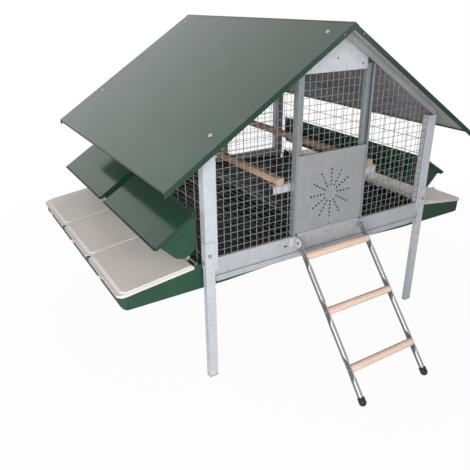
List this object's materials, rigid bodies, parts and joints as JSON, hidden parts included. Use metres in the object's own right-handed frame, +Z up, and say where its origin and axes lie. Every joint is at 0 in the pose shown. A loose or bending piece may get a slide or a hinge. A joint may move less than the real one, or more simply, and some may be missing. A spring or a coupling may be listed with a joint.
{
  "type": "raised hen coop",
  "caption": "Raised wire hen coop with a gable roof, lift-up door, swing-up ladder, outside feed hoppers and lidded roll-out egg trays.",
  "frame": {"origin": "on the ground, under the middle of the bounding box of the coop with its ladder down", "axes": "+X to the right when facing the door and across both egg trays, +Y from the door to the back wall, +Z up"},
  "size_m": [1.668, 1.5504, 1.2],
  "materials": {
    "galvanised_sheet": "galvanised spangle, satin",
    "wire": "galvanised welded wire",
    "plated_steel": "zinc plated",
    "green_sheet": "satin paint",
    "green_moulding": "satin",
    "beige_moulding": "satin",
    "dark_moulding": "satin",
    "timber": "planed, unpainted",
    "rubber": "matt"
  },
  "bodies": {
    "cage": {"leg_front_left": "galvanised_sheet", "leg_front_right": "galvanised_sheet", "leg_back_left": "galvanised_sheet", "leg_back_right": "galvanised_sheet", "post_front_left": "galvanised_sheet", "post_front_right": "galvanised_sheet", "post_back_left": "galvanised_sheet", "post_back_right": "galvanised_sheet", "rail_front": "galvanised_sheet", "rail_back": "galvanised_sheet", "eave_beams": "galvanised_sheet", "rafters_front": "galvanised_sheet", "rafters_back": "galvanised_sheet", "gable_plates": "galvanised_sheet", "roof_left": "green_sheet", "roof_right": "green_sheet", "roof_screws": "plated_steel", "frame_bolts": "plated_steel", "door_guide_left": "galvanised_sheet", "door_guide_right": "galvanised_sheet", "back_posts": "galvanised_sheet", "sill_plate": "galvanised_sheet", "perch_bars": "galvanised_sheet", "perch_left": "timber", "perch_right": "timber", "floor_ridge": "galvanised_sheet", "floor_left": "dark_moulding", "floor_right": "dark_moulding", "net_front_left": "wire", "net_front_right": "wire", "net_over_door": "wire", "net_back_sides": "wire", "net_back_middle": "wire", "net_left": "wire", "net_right": "wire", "tray_left": "green_moulding", "tray_right": "green_moulding", "lid_rods": "plated_steel", "feeder_left_front": "green_moulding", "feeder_left_back": "green_moulding", "feeder_right_front": "green_moulding", "feeder_right_back": "green_moulding", "ladder_brackets": "galvanised_sheet"},
    "door": {"door_panel": "galvanised_sheet"},
    "ladder": {"ladder_rail_left": "galvanised_sheet", "ladder_rail_right": "galvanised_sheet", "ladder_rungs": "timber", "ladder_bolts": "plated_steel", "ladder_feet": "rubber"},
    "lid_left_front": {"lid_left_front": "beige_moulding"},
    "lid_left_middle": {"lid_left_middle": "beige_moulding"},
    "lid_left_back": {"lid_left_back": "beige_moulding"},
    "feeder_lid_left_front": {"feeder_lid_left_front": "green_sheet"},
    "feeder_lid_left_back": {"feeder_lid_left_back": "green_sheet"},
    "lid_right_front": {"lid_right_front": "beige_moulding"},
    "lid_right_middle": {"lid_right_middle": "beige_moulding"},
    "lid_right_back": {"lid_right_back": "beige_moulding"},
    "feeder_lid_right_front": {"feeder_lid_right_front": "green_sheet"},
    "feeder_lid_right_back": {"feeder_lid_right_back": "green_sheet"}
  },
  "joints": [
    {"name": "door_slide", "type": "slide", "parent": "cage", "child": "door", "axis": [0, 0, 1], "range_m": [0, 0.275]},
    {"name": "ladder_swing", "type": "hinge", "parent": "cage", "child": "ladder", "pos_m": [0, -0.36283, 0.462], "axis": [-1, 0, 0], "range_deg": [0, 95]},
    {"name": "lid_left_front_hinge", "type": "hinge", "parent": "cage", "child": "lid_left_front", "pos_m": [-0.545, -0.14823, 0.46346], "axis": [0, 1, 0], "range_deg": [0, 35]},
    {"name": "lid_left_middle_hinge", "type": "hinge", "parent": "cage", "child": "lid_left_middle", "pos_m": [-0.545, 0.18717, 0.46346], "axis": [0, 1, 0], "range_deg": [0, 35]},
    {"name": "lid_left_back_hinge", "type": "hinge", "parent": "cage", "child": "lid_left_back", "pos_m": [-0.545, 0.52257, 0.46346], "axis": [0, 1, 0], "range_deg": [0, 35]},
    {"name": "feeder_lid_left_front_hinge", "type": "hinge", "parent": "cage", "child": "feeder_lid_left_front", "pos_m": [-0.553, -0.08533, 0.64999], "axis": [0, 1, 0], "range_deg": [0, 60]},
    {"name": "feeder_lid_left_back_hinge", "type": "hinge", "parent": "cage", "child": "feeder_lid_left_back", "pos_m": [-0.553, 0.45967, 0.64999], "axis": [0, 1, 0], "range_deg": [0, 60]},
    {"name": "lid_right_front_hinge", "type": "hinge", "parent": "cage", "child": "lid_right_front", "pos_m": [0.545, -0.14823, 0.46346], "axis": [0, -1, 0], "range_deg": [0, 35]},
    {"name": "lid_right_middle_hinge", "type": "hinge", "parent": "cage", "child": "lid_right_middle", "pos_m": [0.545, 0.18717, 0.46346], "axis": [0, -1, 0], "range_deg": [0, 35]},
    {"name": "lid_right_back_hinge", "type": "hinge", "parent": "cage", "child": "lid_right_back", "pos_m": [0.545, 0.52257, 0.46346], "axis": [0, -1, 0], "range_deg": [0, 35]},
    {"name": "feeder_lid_right_front_hinge", "type": "hinge", "parent": "cage", "child": "feeder_lid_right_front", "pos_m": [0.553, -0.04033, 0.64999], "axis": [0, -1, 0], "range_deg": [0, 60]},
    {"name": "feeder_lid_right_back_hinge", "type": "hinge", "parent": "cage", "child": "feeder_lid_right_back", "pos_m": [0.553, 0.45967, 0.64999], "axis": [0, -1, 0], "range_deg": [0, 60]}
  ]
}
